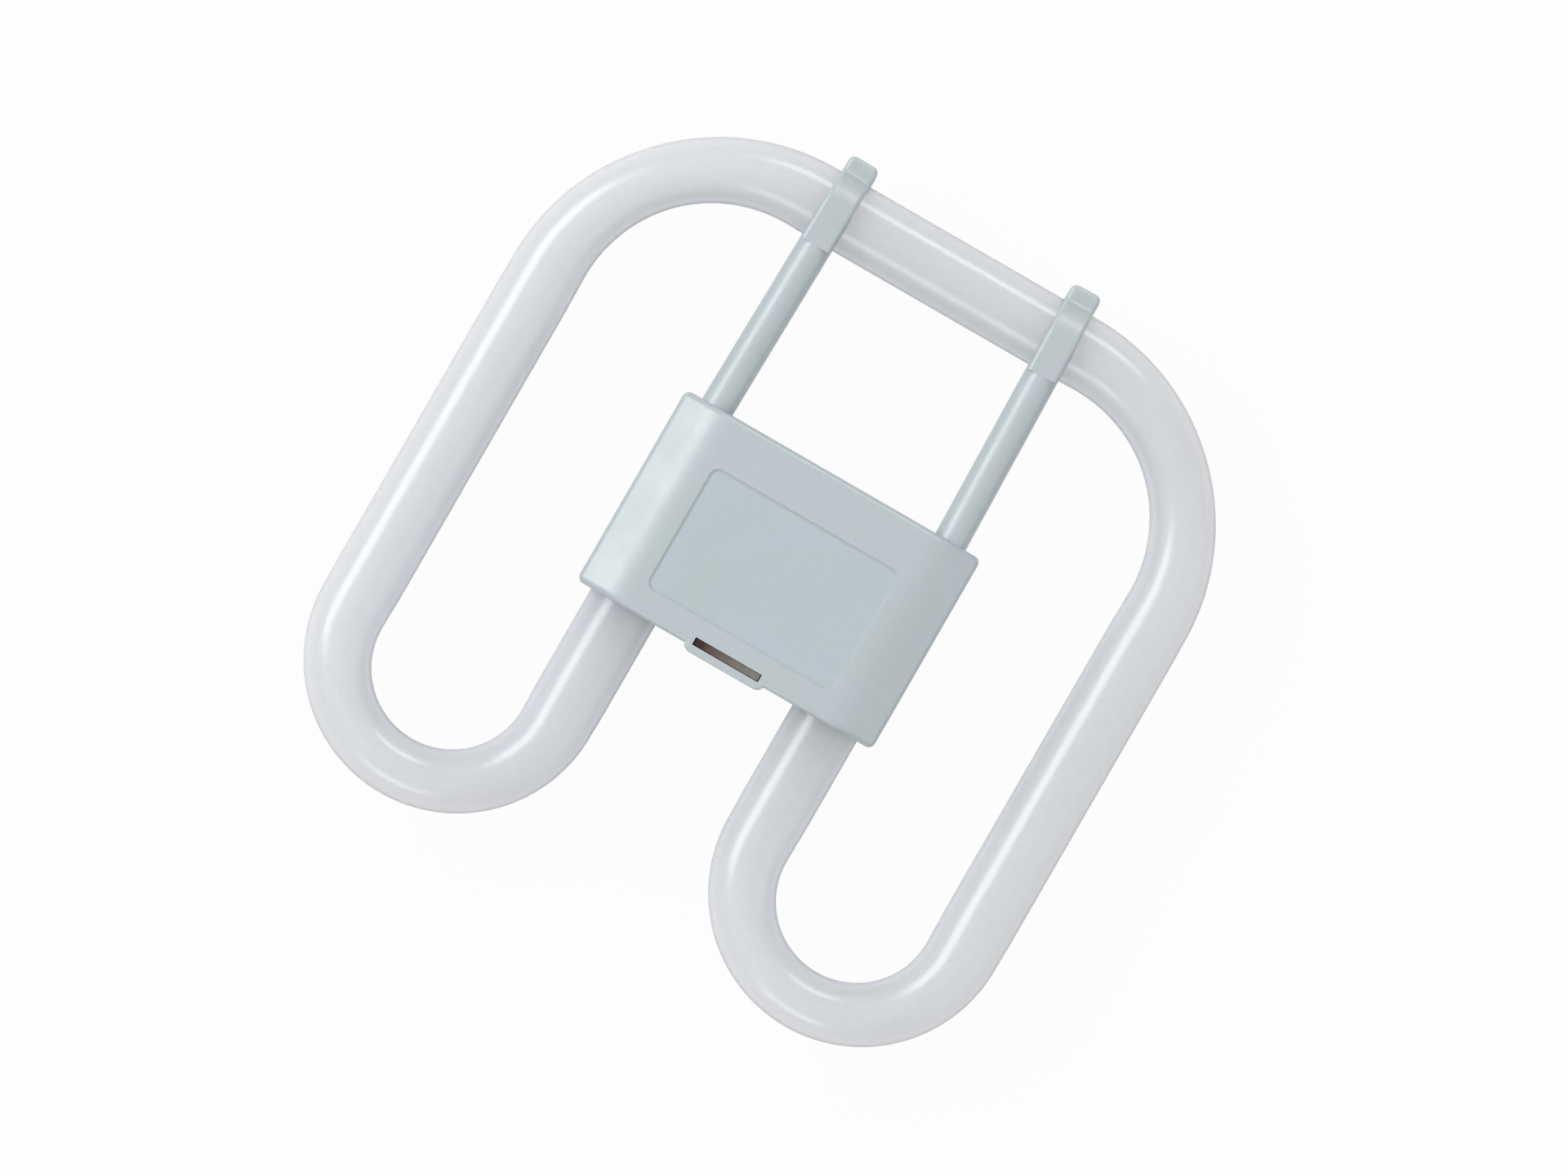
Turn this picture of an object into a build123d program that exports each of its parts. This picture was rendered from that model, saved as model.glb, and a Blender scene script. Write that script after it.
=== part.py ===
from build123d import *
import os
from math import atan2, cos, degrees, hypot, pi, radians, sin

# Square compact fluorescent lamp, 16 W size, with a two-pin cap and its starter inside.
# Millimetres. X runs across the lamp, Y along its arms and +Z out of its front face.
# The origin is on the back plane, under the middle of the lamp's outline.

# Overall outline
lamp_width = 138.0
lamp_height = 140.2

# Glass tube
tube_diameter = 13.2
tube_axis_z = 16.0
leg_side_gap = 2.85
corner_radius = 34.0
corner_waist = 11.6
u_bend_waist = 11.2
bend_throat = 13.0
throat_run = 6.0
sections_per_quarter = 4
leg_end_y = 3.6
end_shoulder = 2.6
exhaust_tip_diameter = 3.4
exhaust_tip_length = 3.0
exhaust_tip_blend = 1.4
lead_exit_spacing = 5.6

# Housing
housing_width = 60.3
housing_top_y = 19.2
housing_bottom_y = -19.7
housing_front_z = 27.2
flat_width = 45.6
cheek_drop = 3.8
cheek_blend = 12.0
cheek_foot_blend = 1.4
plan_corner = 1.3
wall = 1.6
parting_z = tube_axis_z
leg_clearance = 0.25
saddle_y = -6.0
saddle_thickness = 1.4

# Bare label field on the front, a shallow recess
label_width = 38.1
label_height = 24.7
label_centre_y = -2.3
label_corner = 1.8
label_depth = 0.4
label_wall_slope = 45

# Loop and slot in the lower edge
slot_width = 13.4
slot_height = 1.5
slot_rise = 0.35
loop_reach = 1.1
loop_side_wall = 1.4
loop_corner = 1.6
loop_setback = 0.3
loop_edge_blend = 0.5

# Arms and clips
rod_diameter = 6.2
arm_z = 22.1
arm_base_x = 23.85
arm_tip_x = 22.95
strap_width = 5.8
strap_lead = 1.0
clip_clearance = 0.1
fold_start = 3.4
fold_end = 6.8
lug_reach = 3.3
lug_front_z = 20.6
lug_thickness = 1.8
hook_wall = 1.7
hook_depth = 4.0
fold_head_blend = 8.0
fold_foot_blend = 1.2
lug_corner = 1.2
strap_edge_blend = 0.8
snap = 0.01

# Back and lampholder recess
recess_width = 26.0
recess_height = 18.0
recess_depth = 9.0
recess_corner = 2.0
recess_mouth_chamfer = 0.6
catch_width = 6.0
catch_height = 3.0
catch_depth = 0.9
catch_z = 5.0
back_edge_blend = 0.8
lip_thickness = 0.8
lip_rise = 1.5
lip_clearance = 0.1
lip_length = 10.0
lip_top_gap = 3.0

# Contact pins
pin_diameter = 2.35
pin_spacing = 8.0
pin_length = 6.5
pin_neck_diameter = 1.9
pin_neck_reveal = 0.3
pin_head_diameter = 4.2
pin_head_thickness = 0.8
pin_tip_blend = 0.9

# Starter set
board_thickness = 1.3
board_side_gap = 0.2
board_sink = 2.6
bottle_diameter = 6.0
bottle_length = 18.0
bottle_x = 3.1
bottle_gap = 4.0
bottle_shoulder = 2.4
bottle_tip_diameter = 1.2
bottle_tip_length = 2.4
capacitor_width = 6.4
capacitor_length = 8.0
capacitor_thickness = 4.4
capacitor_x = -3.9
capacitor_blend = 1.2
starter_z = 21.4
starter_lead_spacing = 2.4
capacitor_lead_spacing = 3.4
starter_lead_diameter = 0.6

# Lead wires from the tube ends
wire_diameter = 0.8
wire_z = 17.2
wire_bend = 1.6
pin_wire_y = 14.2
board_wire_y = 10.2
board_wire_x = 9.4
board_wire_turn_y = -12.0
board_wire_end_x = 5.4
sleeve_diameter = 1.4
sleeve_end_gap = 0.1

# Cement that beds the legs in the housing
cement_thickness = 0.9
cement_length = 3.0

# Places that follow from the sizes above
tube_radius = tube_diameter / 2
half_width = housing_width / 2
housing_height = housing_top_y - housing_bottom_y
housing_middle_y = (housing_top_y + housing_bottom_y) / 2
outer_x = lamp_width / 2 - tube_radius
leg_x = half_width - leg_side_gap - tube_radius
leg_sites = {"left": -leg_x, "right": leg_x}
u_radius = (outer_x - leg_x) / 2
u_centre_x = (outer_x + leg_x) / 2
u_centre_y = -lamp_height / 2 + u_bend_waist / 2 + u_radius
top_run_y = lamp_height / 2 - lug_reach - tube_radius
corner_x = outer_x - corner_radius
corner_y = top_run_y - corner_radius
floor_z = recess_depth + wall
pin_x = pin_spacing / 2
pin_head_top_z = floor_z + pin_head_thickness
slot_bottom_y = housing_bottom_y + slot_rise
slot_top_y = slot_bottom_y + slot_height
loop_bottom_y = housing_bottom_y - loop_reach
loop_width = slot_width + 2 * loop_side_wall
loop_height = slot_top_y - loop_bottom_y
pocket_height = housing_bottom_y + 2 * wall - slot_top_y
board_y = slot_bottom_y + slot_height / 2
board_width = slot_width - 2 * board_side_gap
board_top_z = housing_front_z - board_sink
board_face_y = board_y + board_thickness / 2

os.makedirs("parts", exist_ok=True)


def bend_width(share, waist):
    """Width of the tube across a bend, where share runs from 0 to 1 along the bend."""
    return waist + (bend_throat - waist) * (1 - sin(pi * share))


def tube_section(x, y, heading, width):
    """Cross-section of the tube at a point of its path, which runs at heading degrees from +X."""
    along = (cos(radians(heading)), sin(radians(heading)), 0)
    across = (-along[1], along[0], 0)
    with BuildSketch(Plane(origin=(x, y, tube_axis_z), x_dir=across, z_dir=along)) as section:
        Ellipse(width / 2, tube_radius)
    return section.sketch


def bend_sections(centre_x, centre_y, radius, start, sweep_angle, waist):
    """Sections through one bend and the short tapers that lead into and out of it."""
    turn = 1 if sweep_angle > 0 else -1
    steps = round(abs(sweep_angle) / 90 * sections_per_quarter)
    sections = []
    for step in range(steps + 1):
        share = step / steps
        angle = start + sweep_angle * share
        x = centre_x + radius * cos(radians(angle))
        y = centre_y + radius * sin(radians(angle))
        heading = angle + 90 * turn
        width = bend_width(share, waist)
        ahead = (cos(radians(heading)) * throat_run, sin(radians(heading)) * throat_run)
        if step == 0:
            sections.append(tube_section(x - ahead[0], y - ahead[1], heading, tube_diameter))
        sections.append(tube_section(x, y, heading, width))
        if step == steps:
            sections.append(tube_section(x + ahead[0], y + ahead[1], heading, tube_diameter))
    return sections


def housing_section(y, inset=0):
    """Front moulding's section across the lamp: flat middle, sloping cheeks, upright sides."""
    cheek_foot_z = housing_front_z - cheek_drop
    with BuildSketch(Plane(origin=(0, y, 0), x_dir=(1, 0, 0), z_dir=(0, -1, 0))) as section:
        with BuildLine():
            Polyline(
                (-half_width, parting_z),
                (-half_width, cheek_foot_z),
                (-flat_width / 2, housing_front_z),
                (flat_width / 2, housing_front_z),
                (half_width, cheek_foot_z),
                (half_width, parting_z),
                close=True,
            )
        make_face()
        corner_rows = section.vertices().group_by(Axis.Y)
        fillet(corner_rows[1], radius=cheek_foot_blend)
        fillet(section.vertices().group_by(Axis.Y)[-1], radius=cheek_blend)
        if inset:
            offset(amount=-inset)
    return section.sketch


# Discharge tube: one sealed glass tube, bent into two facing D shapes
with BuildPart() as discharge_tube:
    with BuildSketch(Plane.XZ.offset(-leg_end_y)):
        with Locations((-leg_x, tube_axis_z)):
            Circle(tube_radius)
    extrude(amount=leg_end_y - u_centre_y - throat_run)
    fillet(discharge_tube.edges().sort_by(Axis.Y)[-1], radius=end_shoulder)
    with BuildSketch(Plane.XZ.offset(-leg_end_y)):
        with Locations((-leg_x, tube_axis_z)):
            Circle(exhaust_tip_diameter / 2)
    extrude(amount=-exhaust_tip_length)
    fillet(discharge_tube.edges().sort_by(Axis.Y)[-1], radius=exhaust_tip_blend)
    loft(bend_sections(-u_centre_x, u_centre_y, u_radius, 0, -180, u_bend_waist))
    with BuildSketch(Plane.XZ.offset(-u_centre_y - throat_run)):
        with Locations((-outer_x, tube_axis_z)):
            Circle(tube_radius)
    extrude(amount=-(corner_y - u_centre_y - 2 * throat_run))
    loft(bend_sections(-corner_x, corner_y, corner_radius, 180, -90, corner_waist))
    with BuildSketch(Plane.YZ.offset(-corner_x + throat_run)):
        with Locations((top_run_y, tube_axis_z)):
            Circle(tube_radius)
    extrude(amount=corner_x - throat_run)
    mirror(about=Plane.YZ)
discharge_tube.part.label = "discharge_tube"
export_step(discharge_tube.part, "parts/discharge_tube.step")


# Arm: round rod that leans inwards, with the clip that hooks over the tube's top run
arm_run = hypot(top_run_y - housing_top_y, arm_base_x - arm_tip_x)
arm_lean = degrees(atan2(arm_base_x - arm_tip_x, top_run_y - housing_top_y))
arm_direction = (-sin(radians(arm_lean)), cos(radians(arm_lean)), 0)
arm_side = (cos(radians(arm_lean)), sin(radians(arm_lean)), 0)
strap_front_z = arm_z + rod_diameter / 2
clip_radius = tube_radius + clip_clearance
clip_axis = top_run_y - housing_top_y
hook_inner = clip_axis + clip_radius
hook_outer = hook_inner + hook_wall
lug_tip = clip_axis + tube_radius + lug_reach
strap_start = clip_axis - tube_radius - strap_lead

with BuildPart() as clip:
    arm_plane = Plane(origin=(arm_base_x, housing_top_y, 0), x_dir=arm_direction, z_dir=arm_side)
    with BuildSketch(arm_plane) as clip_profile:
        with BuildLine():
            Polyline(
                (strap_start, strap_front_z),
                (clip_axis + fold_start, strap_front_z),
                (clip_axis + fold_end, lug_front_z),
                (lug_tip, lug_front_z),
                (lug_tip, lug_front_z - lug_thickness),
                (hook_outer, lug_front_z - lug_thickness),
                (hook_outer, tube_axis_z - hook_depth),
                (hook_inner - hook_wall / 2, tube_axis_z - hook_depth),
                (clip_axis, tube_axis_z),
                (strap_start, arm_z),
                close=True,
            )
        make_face()
        fold_head = clip_profile.vertices().group_by(Axis.Y)[-1].sort_by(Axis.X)[-1]
        fillet(fold_head, radius=fold_head_blend)
        fold_foot = clip_profile.vertices().filter_by(lambda v: abs(v.Y - lug_front_z) < snap)
        fillet(fold_foot.sort_by(Axis.X)[0], radius=fold_foot_blend)
    extrude(amount=strap_width / 2, both=True)
    lug_corners = clip.edges().filter_by(Axis.Z).sort_by(Axis.Y)[-2:]
    fillet(lug_corners, radius=lug_corner)
    strap_sides = clip.faces().filter_by(lambda f: abs(f.normal_at().dot(Vector(*arm_side))) > 1 - snap)
    front_edges = strap_sides.edges().filter_by(
        lambda e: e.center().Z > lug_front_z - snap and e.center().Y > housing_top_y + strap_start + snap
    )
    fillet(front_edges, radius=strap_edge_blend)

with BuildPart() as arm:
    rod_plane = Plane(origin=(arm_base_x, housing_top_y, arm_z), x_dir=arm_side, z_dir=arm_direction)
    with BuildSketch(rod_plane.offset(-wall)):
        Circle(rod_diameter / 2)
    extrude(amount=wall + clip_axis)
    add(clip.part)
    with BuildSketch(Plane.YZ):
        with Locations((top_run_y, tube_axis_z)):
            Circle(clip_radius)
    extrude(amount=lamp_width / 2, mode=Mode.SUBTRACT)


# Loop: raised rim round the slot in the lower edge, as deep as the front moulding
with BuildPart() as loop_rim:
    with BuildSketch(Plane.XY.offset(parting_z)):
        with Locations((0, loop_bottom_y + loop_height / 2)):
            Rectangle(loop_width, loop_height)
    extrude(amount=housing_front_z - loop_setback - parting_z)
    fillet(loop_rim.edges().filter_by(Axis.Z).group_by(Axis.Y)[0], radius=loop_corner)
    loop_front = loop_rim.faces().sort_by(Axis.Z)[-1]
    fillet(loop_front.edges().sort_by(Axis.Y)[:-1], radius=loop_edge_blend)


# Saddle ribs: shaped to the inside of the front moulding, and notched for the legs
with BuildPart() as front_saddles:
    extrude(housing_section(saddle_y + saddle_thickness / 2, wall / 2), amount=saddle_thickness)
    with BuildSketch(Plane.XZ.offset(-saddle_y - saddle_thickness / 2)):
        with Locations(*[(x, housing_front_z - tube_radius) for x in leg_sites.values()]):
            Rectangle(tube_diameter, tube_diameter)
        with Locations(*[(x, tube_axis_z) for x in leg_sites.values()]):
            Circle(tube_radius, mode=Mode.SUBTRACT)
    extrude(amount=saddle_thickness, mode=Mode.INTERSECT)


# Front housing: one moulding with the cheeks, label field, loop, arms and clips
with BuildPart() as front_housing:
    extrude(housing_section(housing_top_y), amount=housing_height)
    ends = front_housing.faces().filter_by(Axis.Y)
    end_edges = ends.edges().filter_by(lambda e: e.center().Z > parting_z + wall)
    fillet(end_edges, radius=plan_corner)
    inside = housing_section(housing_top_y - wall, wall)
    extrude(inside, amount=housing_height - 2 * wall, mode=Mode.SUBTRACT)
    with BuildSketch(Plane.XY.offset(parting_z)):
        with Locations((0, housing_middle_y)):
            Rectangle(housing_width - 2 * wall, housing_height - 2 * wall)
    extrude(amount=wall, mode=Mode.SUBTRACT)
    add(front_saddles.part)
    add(loop_rim.part)
    with BuildSketch(Plane.XY.offset(parting_z)):
        with Locations((0, slot_bottom_y + slot_height / 2)):
            Rectangle(slot_width, slot_height)
    extrude(amount=housing_front_z - parting_z, mode=Mode.SUBTRACT)
    with BuildSketch(Plane.XY.offset(parting_z)):
        with Locations((0, slot_top_y + pocket_height / 2)):
            Rectangle(loop_width, pocket_height)
    extrude(amount=housing_front_z - wall - parting_z, mode=Mode.SUBTRACT)
    with BuildSketch(Plane.XZ.offset(-housing_bottom_y - wall)):
        with Locations(*[(x, tube_axis_z) for x in leg_sites.values()]):
            Circle(tube_radius + leg_clearance)
    extrude(amount=wall, mode=Mode.SUBTRACT)
    with BuildSketch(Plane.XY.offset(housing_front_z)):
        with Locations((0, label_centre_y)):
            RectangleRounded(label_width, label_height, radius=label_corner)
    extrude(amount=-label_depth, taper=label_wall_slope, mode=Mode.SUBTRACT)
    add(arm.part)
    add(mirror(arm.part, about=Plane.YZ, mode=Mode.PRIVATE))
front_housing.part.label = "front_housing"
export_step(front_housing.part, "parts/front_housing.step")


# Rear housing: back half of the moulding, with the lampholder's recess and the pin floor
with BuildPart() as rear_housing:
    with BuildSketch(Plane.XY):
        with Locations((0, housing_middle_y)):
            Rectangle(housing_width, housing_height)
    extrude(amount=parting_z)
    fillet(rear_housing.edges().filter_by(Axis.Z), radius=plan_corner)
    fillet(rear_housing.faces().sort_by(Axis.Z)[0].edges(), radius=back_edge_blend)
    with BuildSketch(Plane.XY.offset(wall)):
        with Locations((0, housing_middle_y)):
            Rectangle(housing_width - 2 * wall, housing_height - 2 * wall)
    extrude(amount=parting_z - wall, mode=Mode.SUBTRACT)
    with BuildSketch(Plane.XY.offset(wall)):
        RectangleRounded(
            recess_width + 2 * wall, recess_height + 2 * wall, radius=recess_corner + wall
        )
    extrude(amount=floor_z - wall)
    with BuildSketch(Plane.XY):
        RectangleRounded(recess_width, recess_height, radius=recess_corner)
    extrude(amount=recess_depth, mode=Mode.SUBTRACT)
    mouth = rear_housing.faces().sort_by(Axis.Z)[0].inner_wires()[0].edges()
    chamfer(mouth, length=recess_mouth_chamfer)
    with BuildSketch(Plane.XY.offset(catch_z)):
        with Locations((-recess_width / 2, 0), (recess_width / 2, 0)):
            Rectangle(2 * catch_depth, catch_width)
    extrude(amount=catch_height, mode=Mode.SUBTRACT)
    with BuildSketch(Plane.XY.offset(recess_depth)):
        with Locations((-pin_x, 0), (pin_x, 0)):
            Circle(pin_neck_diameter / 2)
    extrude(amount=wall, mode=Mode.SUBTRACT)
    with BuildSketch(Plane.XZ.offset(-saddle_y - saddle_thickness / 2)):
        with Locations(*[(x, (parting_z + wall) / 2) for x in leg_sites.values()]):
            Rectangle(tube_diameter, parting_z - wall)
        with Locations(*[(x, tube_axis_z) for x in leg_sites.values()]):
            Circle(tube_radius, mode=Mode.SUBTRACT)
    extrude(amount=saddle_thickness)
    with BuildSketch(Plane.XZ.offset(-housing_bottom_y - wall)):
        with Locations(*[(x, tube_axis_z) for x in leg_sites.values()]):
            Circle(tube_radius + leg_clearance)
    extrude(amount=wall, mode=Mode.SUBTRACT)
    lip_x = half_width - wall - lip_clearance - lip_thickness / 2
    with BuildSketch(Plane.XY.offset(wall)):
        lip_y = housing_top_y - wall - lip_top_gap - lip_length / 2
        with Locations((-lip_x, lip_y), (lip_x, lip_y)):
            Rectangle(lip_thickness, lip_length)
        with Locations((0, housing_top_y - wall - lip_clearance - lip_thickness / 2)):
            Rectangle(2 * lip_length, lip_thickness)
    extrude(amount=parting_z + lip_rise - wall)
rear_housing.part.label = "rear_housing"
export_step(rear_housing.part, "parts/rear_housing.step")


# Contact pins: turned brass with a narrower neck, headed over on the pin floor
for x, side in [(-pin_x, "left"), (pin_x, "right")]:
    with BuildPart() as contact_pin:
        with BuildSketch(Plane.XY.offset(recess_depth - pin_length)):
            with Locations((x, 0)):
                Circle(pin_diameter / 2)
        extrude(amount=pin_length - pin_neck_reveal)
        with BuildSketch(Plane.XY.offset(recess_depth - pin_neck_reveal)):
            with Locations((x, 0)):
                Circle(pin_neck_diameter / 2)
        extrude(amount=pin_neck_reveal + wall)
        with BuildSketch(Plane.XY.offset(floor_z)):
            with Locations((x, 0)):
                Circle(pin_head_diameter / 2)
        extrude(amount=pin_head_thickness)
        fillet(contact_pin.edges().sort_by(Axis.Z)[0], radius=pin_tip_blend)
    contact_pin.part.label = f"contact_pin_{side}"
    export_step(contact_pin.part, f"parts/contact_pin_{side}.step")


# Starter board: brown phenolic strip that stands in the loop's pocket
with BuildPart() as starter_board:
    with BuildSketch(Plane.XY.offset(parting_z)):
        with Locations((0, board_y)):
            Rectangle(board_width, board_thickness)
    extrude(amount=board_top_z - parting_z)
starter_board.part.label = "starter_board"
export_step(starter_board.part, "parts/starter_board.step")


# Glow starter: sealed glass bottle with its exhaust tip
with BuildPart() as starter_bottle:
    with BuildSketch(Plane.XZ.offset(-board_face_y - bottle_gap)):
        with Locations((bottle_x, starter_z)):
            Circle(bottle_diameter / 2)
    extrude(amount=-bottle_length)
    fillet(starter_bottle.edges().sort_by(Axis.Y)[-1], radius=bottle_shoulder)
    with BuildSketch(Plane.XZ.offset(-board_face_y - bottle_gap - bottle_length)):
        with Locations((bottle_x, starter_z)):
            Circle(bottle_tip_diameter / 2)
    extrude(amount=-bottle_tip_length)
starter_bottle.part.label = "starter_bottle"
export_step(starter_bottle.part, "parts/starter_bottle.step")


# Suppressor capacitor: dipped block beside the starter
with BuildPart() as suppressor_capacitor:
    with BuildSketch(Plane.XZ.offset(-board_face_y - bottle_gap)):
        with Locations((capacitor_x, starter_z)):
            Rectangle(capacitor_width, capacitor_thickness)
    extrude(amount=-capacitor_length)
    fillet(suppressor_capacitor.edges(), radius=capacitor_blend)
suppressor_capacitor.part.label = "suppressor_capacitor"
export_step(suppressor_capacitor.part, "parts/suppressor_capacitor.step")


# Short stiff leads that carry the starter and the capacitor on the board
lead_sets = [
    ("starter_lead", bottle_x, starter_lead_spacing),
    ("capacitor_lead", capacitor_x, capacitor_lead_spacing),
]
for lead_name, middle_x, spacing in lead_sets:
    for offset_x, side in [(-spacing / 2, "left"), (spacing / 2, "right")]:
        with BuildPart() as short_lead:
            with BuildSketch(Plane.XZ.offset(-board_face_y)):
                with Locations((middle_x + offset_x, starter_z)):
                    Circle(starter_lead_diameter / 2)
            extrude(amount=-bottle_gap)
        short_lead.part.label = f"{lead_name}_{side}"
        export_step(short_lead.part, f"parts/{lead_name}_{side}.step")


# Lead wires: two from each tube end, one to a contact pin and one to the starter board
for hand, side in [(-1, "left"), (1, "right")]:
    outer_exit_x = hand * (leg_x + lead_exit_spacing / 2)
    inner_exit_x = hand * (leg_x - lead_exit_spacing / 2)
    pin_route = [
        (outer_exit_x, leg_end_y, wire_z),
        (outer_exit_x, pin_wire_y, wire_z),
        (hand * pin_x, pin_wire_y, wire_z),
        (hand * pin_x, 0, wire_z),
        (hand * pin_x, 0, pin_head_top_z),
    ]
    board_route = [
        (inner_exit_x, leg_end_y, wire_z),
        (inner_exit_x, board_wire_y, wire_z),
        (hand * board_wire_x, board_wire_y, wire_z),
        (hand * board_wire_x, board_wire_turn_y, wire_z),
        (hand * board_wire_end_x, board_wire_turn_y, wire_z),
        (hand * board_wire_end_x, board_face_y, wire_z),
    ]
    for route_name, route in [("pin_wire", pin_route), ("starter_wire", board_route)]:
        with BuildPart() as lead_wire:
            with BuildLine() as wire_path:
                FilletPolyline(*route, radius=wire_bend)
            with BuildSketch(Plane.XZ.offset(-leg_end_y)):
                with Locations((route[0][0], wire_z)):
                    Circle(wire_diameter / 2)
            sweep(path=wire_path.line)
        lead_wire.part.label = f"{route_name}_{side}"
        export_step(lead_wire.part, f"parts/{route_name}_{side}.step")
        with BuildPart() as wire_sleeve:
            run_x = (route[1][0] + route[2][0]) / 2
            sleeve_length = abs(route[1][0] - route[2][0]) - 2 * (wire_bend + sleeve_end_gap)
            with BuildSketch(Plane.YZ.offset(run_x)):
                with Locations((route[1][1], wire_z)):
                    Circle(sleeve_diameter / 2)
                    Circle(wire_diameter / 2, mode=Mode.SUBTRACT)
            extrude(amount=sleeve_length / 2, both=True)
        wire_sleeve.part.label = f"{route_name}_sleeve_{side}"
        export_step(wire_sleeve.part, f"parts/{route_name}_sleeve_{side}.step")


# Cement collars: beads that bed the tube's legs against the inside of the lower wall
for side, x in leg_sites.items():
    with BuildPart() as cement_collar:
        with BuildSketch(Plane.XZ.offset(-housing_bottom_y - wall)):
            with Locations((x, tube_axis_z)):
                Circle(tube_radius + cement_thickness)
                Circle(tube_radius, mode=Mode.SUBTRACT)
        extrude(amount=-cement_length)
    cement_collar.part.label = f"cement_collar_{side}"
    export_step(cement_collar.part, f"parts/cement_collar_{side}.step")
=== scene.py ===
"""Square compact fluorescent lamp: finishes, glass tube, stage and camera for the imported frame."""

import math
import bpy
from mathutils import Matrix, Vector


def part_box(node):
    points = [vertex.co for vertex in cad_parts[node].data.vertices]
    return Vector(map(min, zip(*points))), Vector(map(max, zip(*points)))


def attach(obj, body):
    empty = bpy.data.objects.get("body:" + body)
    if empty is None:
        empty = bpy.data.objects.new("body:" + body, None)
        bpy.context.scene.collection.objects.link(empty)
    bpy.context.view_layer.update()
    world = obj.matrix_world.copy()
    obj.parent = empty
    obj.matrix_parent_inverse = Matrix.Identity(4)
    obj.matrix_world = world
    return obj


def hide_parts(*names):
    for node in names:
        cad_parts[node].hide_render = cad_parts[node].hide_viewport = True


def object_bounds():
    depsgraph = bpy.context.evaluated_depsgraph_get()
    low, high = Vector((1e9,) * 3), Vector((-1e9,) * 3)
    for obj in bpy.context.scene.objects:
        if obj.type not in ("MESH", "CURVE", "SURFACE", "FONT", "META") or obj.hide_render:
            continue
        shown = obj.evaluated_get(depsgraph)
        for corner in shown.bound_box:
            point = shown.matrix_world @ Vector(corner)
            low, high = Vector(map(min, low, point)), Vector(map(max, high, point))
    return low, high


bl_info = {
    "name": "Square Compact Lamp",
    "version": (1, 0, 0),
    "blender": (4, 5, 0),
    "location": "View3D > Sidebar > Lamp",
    "description": "Builds the looks of a square compact fluorescent lamp around its packed frame",
    "category": "Object",
}

import bmesh
import bpy
from bpy.props import FloatProperty, FloatVectorProperty, IntProperty, PointerProperty
from mathutils import Matrix, Vector

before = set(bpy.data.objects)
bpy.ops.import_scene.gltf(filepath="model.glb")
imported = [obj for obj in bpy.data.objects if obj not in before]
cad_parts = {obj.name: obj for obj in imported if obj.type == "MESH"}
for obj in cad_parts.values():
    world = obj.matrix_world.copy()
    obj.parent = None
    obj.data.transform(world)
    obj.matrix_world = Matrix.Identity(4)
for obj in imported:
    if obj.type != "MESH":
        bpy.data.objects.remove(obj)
cad_low, cad_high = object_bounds()

tube_low, tube_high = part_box("discharge_tube")
_, front_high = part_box("front_housing")
_, rear_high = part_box("rear_housing")

MM = 0.001

HOUSINGS = ("front_housing", "rear_housing")
PINS = ("contact_pin_left", "contact_pin_right")
LEADS = ("starter_lead", "capacitor_lead", "pin_wire", "starter_wire")
SLEEVES = ("pin_wire_sleeve", "starter_wire_sleeve")
SIDES = ("left", "right")

# Screen levels to linear light.
TOP_LEVEL = 255
SRGB_KNEE = 0.04045
SRGB_SLOPE = 12.92
SRGB_OFFSET = 0.055
SRGB_POWER = 2.4
WHITE = (1.0, 1.0, 1.0)

# Finishes. A span is a low and a high value.
NOISE_SPAN = (0.3, 0.7)
RIM_SPAN = (0.56, 0.86)
COAT_FADE = (0.0, 0.6)
GLASS_IOR = 1.5
COAT_IOR = 1.6
PLASTIC_IOR = 1.5
ROUGHNESS_BELOW, ROUGHNESS_ABOVE, LABEL_SMOOTHER = 0.05, 0.06, 0.02
LABEL_REACH = 1.0 * MM
SEAM_REACH = 0.5 * MM
SEAM_CORE, SEAM_FADE = 0.3, 0.7
# Span of the starter board's painted light, as shares of its reach, and how far its edge wanders.
WASH_START, WASH_END, WASH_WANDER = -0.5, 1.1, 3 * MM
BRAID_TILT = 0.8

# Steps along the left half of the glass tube, and rings of its sealed end.
LEG_STEPS = 6
TAPER_STEPS = 6
U_STEPS = 64
SIDE_STEPS = 8
CORNER_STEPS = 44
TOP_STEPS = 3
TIP_RINGS = 6
SHOULDER_RINGS = 8
TIP_ROUNDING = 0.8
SMALLEST_RADIUS = 0.01 * MM

# Floor, soft boxes and surround.
FLOOR_GAP = 0.02 * MM
PAPER_SPAN = (0.73, 0.76)
BOX_DISTANCE = 4.0
RISE_SPAN = (0.2, 0.7)
LOW_SURROUND = 0.15


def linear(*levels):
    """Linear colour of a screen colour given as three levels from 0 to 255."""
    shares = (level / TOP_LEVEL for level in levels)
    return tuple(
        share / SRGB_SLOPE
        if share <= SRGB_KNEE
        else ((share + SRGB_OFFSET) / (1 + SRGB_OFFSET)) ** SRGB_POWER
        for share in shares
    )


def darker(colour, share):
    """A colour at a share of its brightness."""
    return tuple(part * share for part in colour)


def colour_property(name, description, screen_colour):
    """A colour that a user may change, with its default given as a screen colour."""
    return FloatVectorProperty(
        name=name,
        description=description,
        subtype="COLOR",
        size=3,
        min=0.0,
        max=1.0,
        default=linear(*screen_colour),
    )


def length_property(name, description, metres):
    """A length in metres that a user may change."""
    return FloatProperty(
        name=name, description=description, default=metres, min=0.0, unit="LENGTH", precision=5
    )


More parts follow.
